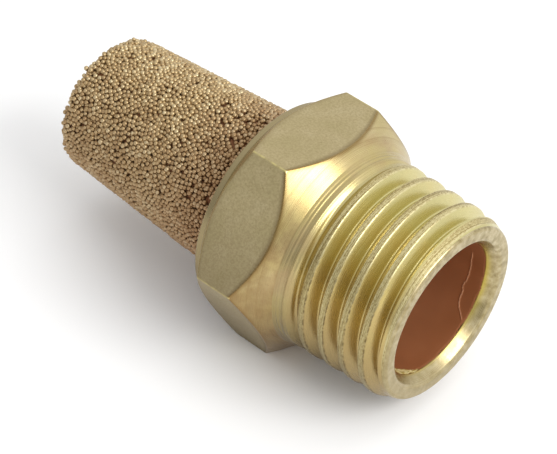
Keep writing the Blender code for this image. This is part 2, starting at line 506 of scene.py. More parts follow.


# %% [markdown]
# ## Turned brass: the thread
#
# The flanks of the thread are sheltered between its crests, and stay the cleanest and yellowest;
# their yellow is painted lighter towards the top and darker below, as painted light and shade. The
# crests rub on what the fitting meets, and are worn in short dashes along the cut. Along one edge of
# every crest runs a thin line, broken in places: a painted highlight on top and painted shade below.

# %% Turned brass on the thread
def thread_brass(tree, position, rings, clouds, colour):
    # Painted light and shade: the flanks' yellow gets lighter towards the top of the slant and darker below.
    heights = {"From Min": -4.0, "From Max": 5.0, "To Min": -0.1, "To Max": 0.65}
    height = add(tree, "MapRange", "Result", {"Value": side_height(tree, position), **heights})
    lit_tone = add(tree, "Math", "Value", {0: clouds, 1: 0.5, 2: height}, operation="MULTIPLY_ADD")
    yellows = [(0.22, "c9b077"), (0.58, "d0bc7a"), (0.90, "cec48b")]
    lit = add(tree, "ValToRGB", "Color", {"Fac": lit_tone}, yellows)
    flank = add(tree, "Attribute", "Fac", {}, attribute_name="flank")
    colour = add(tree, "Mix", BLENDED, {HOW_FAR: flank, FROM: colour, TO: lit}, data_type="RGBA")

    scratches = add(tree, "TexNoise", "Fac", {"Vector": rings, "Scale": per_mm(0.045)})
    along = add(tree, "Mapping", "Vector", {"Vector": position, "Scale": (3.0, 1.0, 1.0)})
    dashed = {"Vector": along, "Scale": per_mm(0.16), "Detail": 3.0, "Roughness": 0.7}
    dashes = add(tree, "TexNoise", "Fac", dashed)
    worn = add(tree, "Math", "Value", {0: scratches, 1: dashes}, operation="MULTIPLY")
    wear = [(0.14, "7a6742"), (0.22, "b5a36d"), (0.32, "dcd09e")]
    rubbed = add(tree, "ValToRGB", "Color", {"Fac": worn}, wear)
    crest = add(tree, "Attribute", "Fac", {}, attribute_name="crest")
    colour = add(tree, "Mix", BLENDED, {HOW_FAR: crest, FROM: colour, TO: rubbed}, data_type="RGBA")

    chips = add(tree, "TexNoise", "Fac", {"Vector": position, "Scale": per_mm(0.24), "Detail": 3.0})
    chipped = {"From Min": 0.40, "From Max": 0.56, "To Min": 0.1, "To Max": 0.95}
    broken = add(tree, "MapRange", "Result", {"Value": chips, **chipped})
    # A thin line along one edge of every crest: a painted highlight on top and painted shade below.
    line = add(tree, "Attribute", "Fac", {}, attribute_name="crest_edge_line")
    crest_edge_line = add(tree, "Math", "Value", {0: line, 1: broken}, operation="MULTIPLY")
    edge_highlight_and_shade = add(tree, "ValToRGB", "Color", {"Fac": height}, [(0.16, "4f3e20"), (0.46, "e2d8a8")])
    return add(tree, "Mix", BLENDED, {HOW_FAR: crest_edge_line, FROM: colour, TO: edge_highlight_and_shade}, data_type="RGBA")


# %% [markdown]
# ## Turned brass: the chamfer, the collar and the mouth
#
# The front chamfer has brown stain blots that are kept to its lower half, so they are partly stain
# and partly painted shade. The collar is a plain, duller turning. The faces at the mouth are mottled,
# and a yellow line lies at the back of the countersink, where the film in the bore ends.

# %% Turned brass round the thread
MOUTH_COLOURS = [(0.34, "96875f"), (0.50, "ae9f78"), (0.66, "c3b692")]


def shoulder_and_mouth_brass(tree, position, colour):
    blots = {"Vector": position, "Scale": per_mm(1.6), "Detail": 4.0, "Roughness": 0.6}
    blot = add(tree, "TexNoise", "Fac", blots)
    stains = {"From Min": 0.36, "From Max": 0.58, "To Max": 0.8}
    stain = add(tree, "MapRange", "Result", {"Value": blot, **stains})
    chamfer = add(tree, "Attribute", "Fac", {}, attribute_name="chamfer")
    # The blots are kept to the chamfer and to its lower side: real stain, confined there as painted shade.
    for limit in (chamfer, painted_underside_shade(tree, position, 5.0, 0.0, 1.0)):
        stain = add(tree, "Math", "Value", {0: stain, 1: limit}, operation="MULTIPLY")
    colour = add(tree, "Mix", BLENDED, {HOW_FAR: stain, FROM: colour, TO: "957d57"}, data_type="RGBA")

    collar = add(tree, "Attribute", "Fac", {}, attribute_name="collar")
    colour = add(tree, "Mix", BLENDED, {HOW_FAR: collar, FROM: colour, TO: "a3946f"}, data_type="RGBA")

    mottles = {"Vector": position, "Scale": per_mm(0.5), "Detail": 4.0, "Roughness": 0.6}
    mottle = add(tree, "TexNoise", "Fac", mottles)
    mottled = add(tree, "ValToRGB", "Color", {"Fac": mottle}, MOUTH_COLOURS)
    mouth = add(tree, "Attribute", "Fac", {}, attribute_name="mouth")
    colour = add(tree, "Mix", BLENDED, {HOW_FAR: mouth, FROM: colour, TO: mottled}, data_type="RGBA")

    rim = add(tree, "Attribute", "Fac", {}, attribute_name="rim")
    yellow = add(tree, "MapRange", "Result", {"Value": rim, "To Max": 0.9})
    return add(tree, "Mix", BLENDED, {HOW_FAR: yellow, FROM: colour, TO: "b7a24c"}, data_type="RGBA")


# %% [markdown]
# ## Turned brass: the edges, the painted shade below and the whole finish
#
# The edges between a chamfer and the flats are darker, and the six corners get a painted highlight.
# The lower, -Y side then gets painted shade, least at the mouth. A lathe's rings are about 0.05 mm
# apart, and that is the size of the fine noise behind the roughness and the bump: it draws every
# highlight out along the cut.

# %% Turned brass, the whole finish
def edges_corners_and_painted_shade(tree, position, colour):
    names = ("edge", "corner", "chamfer", "mouth")
    edge, corner, chamfer, mouth = [add(tree, "Attribute", "Fac", {}, attribute_name=name) for name in names]
    # The edges between a chamfer and the flats are made darker.
    darker = add(tree, "MapRange", "Result", {"Value": edge, "To Max": 0.75})
    colour = add(tree, "Mix", BLENDED, {HOW_FAR: darker, FROM: colour, TO: "7d6236"}, data_type="RGBA")
    # Painted highlight along the six corners.
    colour = add(tree, "Mix", BLENDED, {HOW_FAR: corner, FROM: colour, TO: "ded090"}, data_type="RGBA")
    # Painted shade below: duller colours, lighter on the chamfer and lighter still at the mouth.
    shade_colour = add(tree, "Mix", BLENDED, {HOW_FAR: chamfer, FROM: "6e5d3e", TO: "95794f"}, data_type="RGBA")
    shade_colour = add(tree, "Mix", BLENDED, {HOW_FAR: mouth, FROM: shade_colour, TO: "ab9c74"}, data_type="RGBA")
    shade_below = painted_underside_shade(tree, position, 1.6, -6.5, 0.68)
    return add(tree, "Mix", BLENDED, {HOW_FAR: shade_below, FROM: colour, TO: shade_colour}, data_type="RGBA")


def turned_brass():
    """Free-cutting brass as the lathe leaves it: fairly bright, with rings round the axis."""
    material, tree, shader = start_material("turned_brass_lathe_finish")
    position, rings = places(tree)
    clouds = add(tree, "TexNoise", "Fac", {"Vector": position, "Scale": per_mm(2.2)})
    colour = bare_brass(tree, position, rings, clouds)
    colour = thread_brass(tree, position, rings, clouds, colour)
    colour = shoulder_and_mouth_brass(tree, position, colour)
    colour = edges_corners_and_painted_shade(tree, position, colour)
    tree.links.new(colour, shader.inputs["Base Color"])
    shader.inputs["Metallic"].default_value = 1.0
    cut = add(tree, "TexNoise", "Fac", {"Vector": rings, "Scale": per_mm(0.05), "Detail": 3.0})
    gloss = {"From Min": 0.3, "From Max": 0.7, "To Min": 0.22, "To Max": 0.36}
    smooth = add(tree, "MapRange", "Result", {"Value": cut, **gloss})
    crest = add(tree, "Attribute", "Fac", {}, attribute_name="crest")
    rough = add(tree, "Math", "Value", {0: crest, 1: 0.14, 2: smooth}, operation="MULTIPLY_ADD")
    tree.links.new(rough, shader.inputs["Roughness"])
    bump = add(tree, "Bump", "Normal", {"Height": cut, "Strength": 0.35, "Distance": 0.004 * MM})
    tree.links.new(bump, shader.inputs["Normal"])
    return material


# %% [markdown]
# ## Drawn brass: the six flats
#
# The flats keep the surface of the bar, which was drawn through a die and then etched. It is matt,
# with a grain of about 0.1 mm, with small dark specks and freckles, and with slow clouds. Its edges
# are darker, its corners get a painted highlight where they aren't chipped, and its lower side gets
# painted shade.

# %% Drawn brass
def drawn_brass():
    """Brass bar, drawn and etched: matt, so it shows its own colour more than any reflection."""
    material, tree, shader = start_material("drawn_brass_matt_flats")
    position = add(tree, "TexCoord", "Object", {})
    clouds = add(tree, "TexNoise", "Fac", {"Vector": position, "Scale": per_mm(1.6), "Detail": 3.0})
    colour = add(
        tree, "ValToRGB", "Color", {"Fac": clouds}, [(0.30, "b9ab80"), (0.55, "c0b188"), (0.78, "c6b891")]
    )
    speck = add(tree, "TexNoise", "Fac", {"Vector": position, "Scale": per_mm(0.22)})
    specks = {"From Min": 0.68, "From Max": 0.76, "To Max": 0.55}
    specked = add(tree, "MapRange", "Result", {"Value": speck, **specks})
    colour = add(tree, "Mix", BLENDED, {HOW_FAR: specked, FROM: colour, TO: "8a7a50"}, data_type="RGBA")
    fine = {"Vector": position, "Scale": per_mm(0.15), "Detail": 3.0, "Roughness": 0.7}
    freckle = add(tree, "TexNoise", "Fac", fine)
    freckles = {"From Min": 0.42, "From Max": 0.60, "To Max": 0.5}
    freckled = add(tree, "MapRange", "Result", {"Value": freckle, **freckles})
    colour = add(tree, "Mix", BLENDED, {HOW_FAR: freckled, FROM: colour, TO: "a19068"}, data_type="RGBA")

    edge, corner = [add(tree, "Attribute", "Fac", {}, attribute_name=name) for name in ("edge", "corner")]
    # The edges next to the chamfers are made darker.
    darker = add(tree, "MapRange", "Result", {"Value": edge, "To Max": 0.85})
    colour = add(tree, "Mix", BLENDED, {HOW_FAR: darker, FROM: colour, TO: "6a5230"}, data_type="RGBA")
    chips = {"From Min": 0.36, "From Max": 0.60, "To Min": 0.15, "To Max": 0.8}
    chip = add(tree, "TexNoise", "Fac", {"Vector": position, "Scale": per_mm(0.4)})
    whole = add(tree, "MapRange", "Result", {"Value": chip, **chips})
    # Painted highlight along the corners, broken where they are chipped.
    glint = add(tree, "Math", "Value", {0: corner, 1: whole}, operation="MULTIPLY")
    colour = add(tree, "Mix", BLENDED, {HOW_FAR: glint, FROM: colour, TO: "ddd08e"}, data_type="RGBA")
    # Painted shade towards the lower, -Y side.
    shade_below = painted_underside_shade(tree, position, 1.5, -6.5, 0.55)
    colour = add(tree, "Mix", BLENDED, {HOW_FAR: shade_below, FROM: colour, TO: "6d5d49"}, data_type="RGBA")
    tree.links.new(colour, shader.inputs["Base Color"])

    shader.inputs["Metallic"].default_value = 1.0
    grains = {"Vector": position, "Scale": per_mm(0.11), "Detail": 3.0, "Roughness": 0.6}
    grain = add(tree, "TexNoise", "Fac", grains)
    matt = {"From Min": 0.3, "From Max": 0.7, "To Min": 0.44, "To Max": 0.56}
    tree.links.new(add(tree, "MapRange", "Result", {"Value": grain, **matt}), shader.inputs["Roughness"])
    bump = add(tree, "Bump", "Normal", {"Height": grain, "Strength": 0.8, "Distance": 0.02 * MM})
    tree.links.new(bump, shader.inputs["Normal"])
    return material


# %% [markdown]
# ## The nipple
#
# The sheet of quads now becomes a mesh. A material can't know by itself where the metal is worn or
# where light and shade are painted, so the mesh tells it: each attribute is one place, such as the
# crests of the thread or the six corners, and runs from 0 to 1. They are worked out from the same
# numbers as the shape, so that the wear and the painted light lie where they should.

# %% The nipple's mesh
EDGE_REACH = 0.25
# Which edge of the flats, how wide its darkening is in millimetres, and how strong.
EDGES = [(FRONT_EDGE, 0.13, 1.0), (BACK_EDGE, 0.10, 0.6)]
CORNER_GLINT_DEG = 0.42
body_points = around(row_x, row_r, phi[None, :])
body_mesh = mesh_from_arrays("threaded_hex_nipple", body_points, ring_faces(len(row_x), len(phi)))


def bell(away, width):
    """One in the middle, falling off smoothly over about this width."""
    return np.exp(-((away / width) ** 2))


def on_rows(chosen):
    """The same value all the way round, for each of the outline's rows."""
    return np.repeat(chosen, len(phi))


near_flats = np.abs(row_r - hexagon) < EDGE_REACH
edge_darkening = sum(most * bell(row_x - CORNERS[corner][0], width) * near_flats for corner, width, most in EDGES)
from_corner = np.degrees(np.abs((phi + TAU / 12) % (TAU / 6) - TAU / 12))
on_hexagon = (row_side >= FRONT_EDGE) & (row_side <= BACK_EDGE)
add_attribute(body_mesh, "edge", edge_darkening)
# Where the finish paints a highlight along the six corners.
add_attribute(body_mesh, "corner", on_hexagon[:, None] * bell(from_corner, CORNER_GLINT_DEG))
add_attribute(body_mesh, "chamfer", on_rows((row_side >= SHOULDER) & (row_side <= FRONT_EDGE)))
add_attribute(body_mesh, "collar", on_rows((row_side >= COLLAR) & (row_side <= COLLAR_END + SIDE)))
print("body:", len(body_mesh.polygons), "quads")

# %% [markdown]
# ## The nipple's thread and mouth
#
# The thread's attributes come from the same look-up that cut the groove. A crest is where the
# surface is far from the middle of the groove, a flank is the rest, and a thin line, painted as a
# highlight on top and as shade below, runs along one side of the crest. The yellow rim in the mouth
# is wider on the +Y side.

# %% The nipple's thread and mouth
# How far a crest's edge is from the middle of the groove.
CREST_SIDE = (PITCH - CREST_FLAT) / 2
CREST_BLEND = 0.06
CREST_EDGE_WIDTH = 0.035
CREST_EDGE_INSET = 0.02
RIM_X = MOUTH_X - COUNTERSINK + 0.02
RIM_NARROW = 0.09
RIM_WIDER_BY = 0.14

from_groove = groove_turns(row_x, phi) * PITCH
threaded = spigot[:, None] * smooth_step((row_x - RUNOUT_START) / (RUNOUT_END - RUNOUT_START))
crest = smooth_step((np.abs(from_groove) - CREST_SIDE + CREST_BLEND) / CREST_BLEND)
add_attribute(body_mesh, "flank", threaded * (1 - crest))
add_attribute(body_mesh, "crest", threaded * crest)
# The thin line along one edge of each crest, which the finish paints as a highlight on top and as shade
# below.
add_attribute(body_mesh, "crest_edge_line", threaded * bell(from_groove + CREST_SIDE - CREST_EDGE_INSET, CREST_EDGE_WIDTH))

in_countersink = row_side >= BORE_BACK + SIDE
add_attribute(body_mesh, "mouth", on_rows((row_side <= FACE_EDGE) | in_countersink))
inside_mouth = ((row_side < FACE_EDGE) | in_countersink)[:, None]
rim_width = RIM_NARROW + RIM_WIDER_BY * smooth_step((np.cos(phi) - 0.55) / 0.3)
add_attribute(body_mesh, "rim", inside_mouth * bell(row_x - RIM_X, rim_width))

finishes = [turned_brass(), drawn_brass()]
place("threaded_hex_nipple", body_mesh, finishes, "threaded_hex_body")
on_flat = on_rows(row_side == FRONT_EDGE + SIDE)
body_mesh.polygons.foreach_set("material_index", on_flat.astype(np.int32))
print("flats:", int(on_flat.sum()), "quads of drawn brass")

# %% [markdown]
# ## The sintered cup
#
# Bronze beads about a third of a millimetre across fill a mould and are heated until they grow
# together where they touch. The mould's wall presses the outer beads level, so the sides look
# smooth, while the closed end, where the beads were poured, stays bumpy. The beads are scattered at
# random over the cup's outline and then push each other apart until they are evenly packed.

# %% The cup's outline
BEAD = 0.33
CUP_BASE = 5.71
CUP_END = 4.83
CUP_FILLET = 0.95
rng = np.random.default_rng(7)


def cup_outline(inset):
    """(x, radius) points from the seat to the middle of the closed end, inset from the mould."""
    xs = [BACK_X + 0.4, BACK_X]
    rs = [CUP_BASE - inset] * 2
    centre_x = CUP_END_X + CUP_FILLET
    centre_r = CUP_END - CUP_FILLET
    for a in np.radians(np.linspace(0, 90, 12)):
        xs.append(centre_x - (CUP_FILLET - inset) * math.sin(a))
        rs.append(centre_r + (CUP_FILLET - inset) * math.cos(a))
    xs.append(CUP_END_X + inset)
    rs.append(0.0)
    return np.array(xs), np.array(rs)


def outline_lookup(inset, along):
    """Position on the outline at a distance along it."""
    xs, rs = cup_outline(inset)
    lengths = np.concatenate([[0], np.cumsum(np.hypot(np.diff(xs), np.diff(rs)))])
    return np.interp(along, lengths, xs), np.interp(along, lengths, rs), lengths[-1]


cup_length = float(outline_lookup(0.0, 0.0)[2])
print("cup outline:", round(cup_length, 2), "mm from the seat to the middle of its end")

# %% [markdown]
# ## Scattering and packing the beads
#
# A point's chance to land at a place on the outline grows with the radius there, because a wide
# ring has more room than a narrow one. The points are then packed: each looks for the beads that
# overlap it, all move a little apart, and all are put back on the outline. A few rounds are enough,
# and some overlaps and gaps are left, as in the real cup.

# %% Bead positions
PACKING = 0.85
PUSH = 0.45
ROUNDS = 6
SCATTER_SAMPLES = 4000
NEAREST_SAMPLES = 700


def scatter(inset, bead, seed_rng):
    """Random points on the outline's surface, as many as beads of this size would pack."""
    total = outline_lookup(inset, 0.0)[2]
    samples = np.linspace(0, total, SCATTER_SAMPLES)
    radii = outline_lookup(inset, samples)[1]
    weight = np.cumsum(radii)
    area = TAU * radii.mean() * total
    count = int(PACKING * area / (math.pi / 4 * bead**2))
    along = np.interp(seed_rng.random(count), weight / weight[-1], samples)
    x, r, _ = outline_lookup(inset, along)
    return around(x, r, seed_rng.random(count) * TAU), total


def onto_outline(points, inset, total):
    """The nearest places on the outline's surface to the points."""
    samples = np.linspace(0, total, NEAREST_SAMPLES)
    sx, sr, _ = outline_lookup(inset, samples)
    tree = KDTree(len(samples))
    for k in range(len(samples)):
        tree.insert((sx[k], sr[k], 0.0), k)
    tree.balance()
    radius = np.hypot(points[:, 1], points[:, 2])
    angle = np.arctan2(points[:, 2], points[:, 1])
    found = [tree.find((px, pr, 0.0))[1] for px, pr in zip(points[:, 0], radius)]
    return around(sx[found], sr[found], angle)


def relax(points, inset, total, bead, rounds):
    """Beads that overlap push each other apart, a little at a time."""
    for _ in range(rounds):
        tree = KDTree(len(points))
        for k, p in enumerate(points):
            tree.insert(p, k)
        tree.balance()
        push = np.zeros_like(points)
        for k, p in enumerate(points):
            for q, other, distance in tree.find_range(p, bead):
                if other != k and distance > 1e-6:
                    push[k] += (p - np.array(q)) / distance * (bead - distance) * PUSH
        points = onto_outline(points + push, inset, total)
    return points


outer_inset = BEAD / 2
outer, outer_total = scatter(outer_inset, BEAD, rng)
outer = relax(outer, outer_inset, outer_total, BEAD, ROUNDS)
print(len(outer), "beads against the mould")

# %% [markdown]
# ## One bead
#
# A bead is a small ball. An icosahedron has twenty equal triangles, and splitting each of them in
# four makes it round enough at this size. The beads beneath only fill the gaps between the outer
# ones, so they stay unsplit.

# %% One bead
def unit_ball(splits):
    """A small ball of triangles: an icosahedron whose faces are each split in four, splits times."""
    golden = (1 + 5**0.5) / 2
    points = []
    for a in (-1, 1):
        for b in (-golden, golden):
            points += [Vector(p).normalized() for p in ((0, a, b), (a, b, 0), (b, 0, a))]
    near = {pair for pair in combinations(range(12), 2) if (points[pair[0]] - points[pair[1]]).length < 1.1}
    faces = [t for t in combinations(range(12), 3) if set(combinations(t, 2)) <= near]
    faces = [t if points[t[0]].dot(points[t[1]].cross(points[t[2]])) > 0 else t[::-1] for t in faces]
    middle = {}

    def halfway(a, b):
        key = (min(a, b), max(a, b))
        if key not in middle:
            middle[key] = len(points)
            points.append((points[a] + points[b]).normalized())
        return middle[key]

    for _ in range(splits):
        split = []
        for a, b, c in faces:
            ab, bc, ca = halfway(a, b), halfway(b, c), halfway(c, a)
            split += [(a, ab, ca), (ab, b, bc), (ca, bc, c), (ab, bc, ca)]
        faces = split
    return np.array(points), np.array(faces)


print("triangles in a bead:", len(unit_ball(1)[1]), "outside and", len(unit_ball(0)[1]), "beneath")

# %% [markdown]
# ## All the beads
#
# Bronze powder is sieved, so its beads differ in size by about a tenth. The mould levels the tops
# of the outer ones, except round the closed end, where they stand up unevenly. Thousands of
# separate objects would be slow to handle, so all the beads of a layer become one mesh.

# %% All the beads
SIZE_SPREAD = 0.09
LEVEL_SPREAD = 0.035
BUMP_MIDDLE = 0.03
BUMP_SPREAD = 0.10
LOOSE_LENGTH = 1.1
LOOSE_BLEND = 0.9
UNDER_INSET = outer_inset + 0.15
UNDER_RADIUS = 0.56 * BEAD
UNDER_ROUNDS = 4


def bead_mesh(name, centres, radii, tints, splits):
    """One ball for each bead, as a single mesh whose points carry the bead's tint."""
    ball, ball_faces = unit_ball(splits)
    points = (centres[:, None, :] + radii[:, None, None] * ball[None, :, :]).reshape(-1, 3)
    faces = (np.arange(len(centres))[:, None, None] * len(ball) + ball_faces[None]).reshape(-1, 3)
    mesh = mesh_from_arrays(name, points, faces)
    add_attribute(mesh, "tint", np.repeat(tints, len(ball)))
    return mesh


def settle(centres):
    """Radii, and centres moved in or out: level at the sides, uneven round the closed end."""
    radii = BEAD / 2 * rng.normal(1.0, SIZE_SPREAD, len(centres)).clip(0.80, 1.22)
    loose = smooth_step((CUP_END_X + LOOSE_LENGTH - centres[:, 0]) / LOOSE_BLEND)
    outwards = centres.copy()
    outwards[:, 0] = np.minimum(centres[:, 0] - (CUP_END_X + CUP_FILLET), 0)
    radius = np.hypot(centres[:, 1], centres[:, 2])
    pull = np.where(loose > 0, np.maximum(radius - (CUP_END - CUP_FILLET), 0), radius)
    outwards[:, 1:] *= (pull / np.maximum(radius, 1e-6))[:, None]
    outwards /= np.maximum(np.linalg.norm(outwards, axis=1), 1e-6)[:, None]
    level = BEAD / 2 - radii - np.abs(rng.normal(0, LEVEL_SPREAD, len(centres)))
    bumpy = rng.normal(BUMP_MIDDLE, BUMP_SPREAD, len(centres)).clip(-0.14, 0.24)
    return centres + outwards * (level * (1 - loose) + bumpy * loose)[:, None], radii


outer_centres, outer_radii = settle(outer)
inner, inner_total = scatter(UNDER_INSET, BEAD, rng)
inner = relax(inner, UNDER_INSET, inner_total, BEAD, UNDER_ROUNDS)
inner_radii = np.full(len(inner), UNDER_RADIUS)
print("bead radii from", outer_radii.min().round(3), "to", outer_radii.max().round(3), "mm")

# %% [markdown]
# ## Bronze finishes
#
# The beads are bronze: copper with about a tenth of tin, a redder metal than the brass. Heat leaves
# each bead a slightly different shade, so every bead carries its own tint. Sintered beads aren't
# polished, so the metal is rather matt. The cup gets painted shade below, and is darker and browner
# next to the hexagon. Behind the beads is a dark core, which stands for the porous depth of the wall.

# %% Bronze materials
def bead_bronze():
    """Sintered tin bronze: matt grains of metal, each of its own shade."""
    material, tree, shader = start_material("sintered_bronze_beads")
    tint = add(tree, "Attribute", "Fac", {}, attribute_name="tint")
    position = add(tree, "TexCoord", "Object", {})
    shades = [(0.0, "b0966e"), (0.45, "bfa77c"), (0.8, "c8b289"), (1.0, "d6c49c")]
    colour = add(tree, "ValToRGB", "Color", {"Fac": tint}, shades)
    # Painted shade: darker and browner towards the lower, -Y side.
    shade_below = painted_underside_shade(tree, position, 4.5, -5.5, 0.50)
    colour = add(tree, "Mix", BLENDED, {HOW_FAR: shade_below, FROM: colour, TO: "8c6448"}, data_type="RGBA")
    along = add(tree, "SeparateXYZ", "X", {"Vector": position})
    near = {"From Min": (BACK_X - 6.0) * MM, "From Max": BACK_X * MM, "To Max": 0.50}
    near_hexagon = add(tree, "MapRange", "Result", {"Value": along, **near})
    colour = add(tree, "Mix", BLENDED, {HOW_FAR: near_hexagon, FROM: colour, TO: "8a5a3d"}, data_type="RGBA")
    tree.links.new(colour, shader.inputs["Base Color"])
    shader.inputs["Metallic"].default_value = 0.9
    rough = add(tree, "MapRange", "Result", {"Value": tint, "To Min": 0.50, "To Max": 0.40})
    tree.links.new(rough, shader.inputs["Roughness"])
    return material


def core_bronze():
    """The wall's dark pores, seen between the beads: they give no highlight of their own."""
    material, tree, shader = start_material("porous_bronze_core")
    position = add(tree, "TexCoord", "Object", {})
    pores = add(tree, "TexNoise", "Fac", {"Vector": position, "Scale": per_mm(0.2)})
    colour = add(tree, "ValToRGB", "Color", {"Fac": pores}, [(0.35, "9a6644"), (0.65, "b07b55")])
    tree.links.new(colour, shader.inputs["Base Color"])
    shader.inputs["Roughness"].default_value = 0.8
    return material


# %% [markdown]
# ## The cup's two layers of beads
#
# The outer layer is the one that the mould levelled. The layer beneath closes the gaps between its
# beads, where one sees into the depth of the real cup's wall. Each bead's tint is drawn at random.

# %% The cup's beads
bead_finish = bead_bronze()
beads = bead_mesh("bronze_beads", outer_centres, outer_radii, rng.random(len(outer)), 1)
place("bronze_beads", beads, [bead_finish], None)
under_beads = bead_mesh("bronze_beads_beneath", inner, inner_radii, rng.random(len(inner)), 0)
place("bronze_beads_beneath", under_beads, [bead_finish], None)
print("beads:", len(beads.polygons), "triangles outside,", len(under_beads.polygons), "beneath")

# %% [markdown]
# ## The cup's core
#
# The core is a closed shell that follows the cup's outline a little way in, and has a cavity like
# the real cup's. In the seat it is as wide as the cup, so that it fills the body's counterbore up
# to the gap. It is a chain of points turned round the axis, like the nipple, but it needs far
# fewer of them, as it only shows in the gaps between beads.

# %% The cup's core
CORE_INSET = 0.42
CORE_WALL = 1.2
CORE_START = SEAT_X - 0.3
SKIRT_END = BACK_X + 0.5
SKIRT_WALL = 1.8
CORE_STEP_DEG = 2.5
ON_AXIS = 0.002

outer_x, outer_r = cup_outline(CORE_INSET)
outer_x = np.concatenate([[CORE_START, SKIRT_END], outer_x[1:]])
outer_r = np.concatenate([[CUP_BASE, CUP_BASE], outer_r[1:]])
floor_x = CUP_END_X + CORE_INSET + CORE_WALL
chain_x = np.concatenate([outer_x, [floor_x, floor_x, CORE_START]])
chain_r = np.concatenate([outer_r, [0.0, CUP_END - CORE_INSET - CORE_WALL, CUP_BASE - SKIRT_WALL]])
core_phi = np.radians(np.arange(0, 360, CORE_STEP_DEG))
core_points = around(chain_x[:, None], np.maximum(chain_r, ON_AXIS)[:, None], core_phi[None, :])
core_mesh = mesh_from_arrays("bronze_core", core_points, ring_faces(len(chain_x), len(core_phi)))
place("bronze_core", core_mesh, [core_bronze()], "sintered_bronze_cup")
print("core:", len(core_mesh.polygons), "quads, cavity floor at", round(floor_x, 2), "mm")

# %% [markdown]
# ## The film in the bore
#
# The wall of the bore is reddish brown behind a bright band at the mouth: a thin film of oxide or
# sealant, with a ragged front edge. It is drawn as a thin closed sleeve of its own, because a
# painted edge would have no thickness. Its front edge is a sum of sines with random phases. A
# raised ripple shows where two layers of the film meet, and low at the mouth the film is rubbed
# through to bright metal.

# %% The film's front edge and ripple
FILM_START = MOUTH_X - COUNTERSINK - 0.04
FILM_STEP_DEG = 0.5
# The film is rubbed through over this length, at the angles in degrees beyond these two.
WORN_BACK = 0.7
WORN_BELOW_DEG = -98
WORN_ABOVE_DEG = 130
WORN_FADE_DEG = 30
# Angle in degrees and X in millimetres of points along the ripple.
SEAM = [(-46, 7.50), (-42, 7.25), (-38, 6.90), (-34, 6.68), (-29, 6.58), (-25, 6.60), (-20, 6.43)]
SEAM += [(-15, 6.55), (-8, 6.58), (0, 6.60), (6, 6.55), (12, 6.62), (18, 6.57)]


def ragged(angle, seed, waves, size):
    """A ragged line round the bore: a sum of sines with random phases."""
    lines = np.random.default_rng(seed)
    total = np.zeros_like(angle)
    for _ in range(24):
        total += np.sin(lines.integers(*waves) * angle + lines.random() * TAU)
    return size * total / math.sqrt(24)


film_deg = np.arange(-180, 180, FILM_STEP_DEG)
film_phi = np.radians(film_deg)
front = FILM_START + ragged(film_phi, 3, (3, 30), 0.03) + ragged(film_phi, 4, (60, 200), 0.03)
worn_below = smooth_step((WORN_BELOW_DEG - film_deg) / WORN_FADE_DEG)
worn_above = smooth_step((film_deg - WORN_ABOVE_DEG) / WORN_FADE_DEG)
worn_back = WORN_BACK * (worn_below + worn_above)
worn_edge = front - worn_back + ragged(film_phi, 6, (40, 170), 0.03)
seam_angles, seam_xs = np.array(SEAM).T
seam_x = np.interp(film_phi, np.radians(seam_angles), seam_xs) + ragged(film_phi, 5, (40, 160), 0.02)
seam_ends = smooth_step((film_deg - SEAM[0][0]) / 3) * smooth_step((SEAM[-1][0] + 1 - film_deg) / 6)
print("film's front edge from X", front.min().round(2), "to", front.max().round(2), "mm")

# %% [markdown]
# ## The film's sleeve
#
# The rows of the sleeve are close together near the mouth, where its edge and its ripple are seen,
# and far apart behind. The front edge is rounded down to the wall. The sleeve stands a few
# hundredths of a millimetre proud of the brass, so that the two surfaces never share a place.

# %% The film's mesh
FILM = 0.018
FILM_LIP = 0.12
FILM_GAP = 0.012
FILM_BACK_GAP = 0.004
FILM_END = SEAT_X + 0.05
SEAM_HALF_WIDTH = 0.045
SEAM_HEIGHT = 0.04
WORN_BLEND = 0.06

# How far each row lies behind the front edge.
behind = np.concatenate([[0.0], np.arange(0.02, 1.7, 0.022), np.linspace(1.75, 9.5, 24)])
film_x = np.maximum(front[None, :] - behind[:, None], FILM_END)
film_x[-1] = FILM_END
lip = smooth_step((front[None, :] - film_x) / FILM_LIP)
seam = seam_ends[None, :] * bell(film_x - seam_x[None, :], SEAM_HALF_WIDTH)
worn = smooth_step((film_x - worn_edge[None, :]) / WORN_BLEND) * (worn_back[None, :] > 0.05)
film_r = BORE_RADIUS - FILM_GAP - FILM * lip - SEAM_HEIGHT * seam
against_wall = np.full_like(film_x, BORE_RADIUS - FILM_BACK_GAP)
all_x = np.concatenate([film_x, film_x[::-1]])
film_points = around(all_x, np.concatenate([film_r, against_wall]), film_phi[None, :])
film_mesh = mesh_from_arrays("bore_film", film_points, ring_faces(len(all_x), len(film_phi)))
add_attribute(film_mesh, "seam", np.concatenate([seam, np.zeros_like(seam)]))
add_attribute(film_mesh, "worn", np.concatenate([worn, np.zeros_like(worn)]))
print("film:", len(film_mesh.polygons), "quads")

# %% [markdown]
# ## The film's finish
#
# A film of oxide or dried sealant is half matt. It is drawn as only partly a metal, which keeps it
# brown even where it reflects the white surround. Deeper in the bore it is painted paler, as painted
# light where the depth gets little of it, and the ripple and the rubbed places have colours of their own.

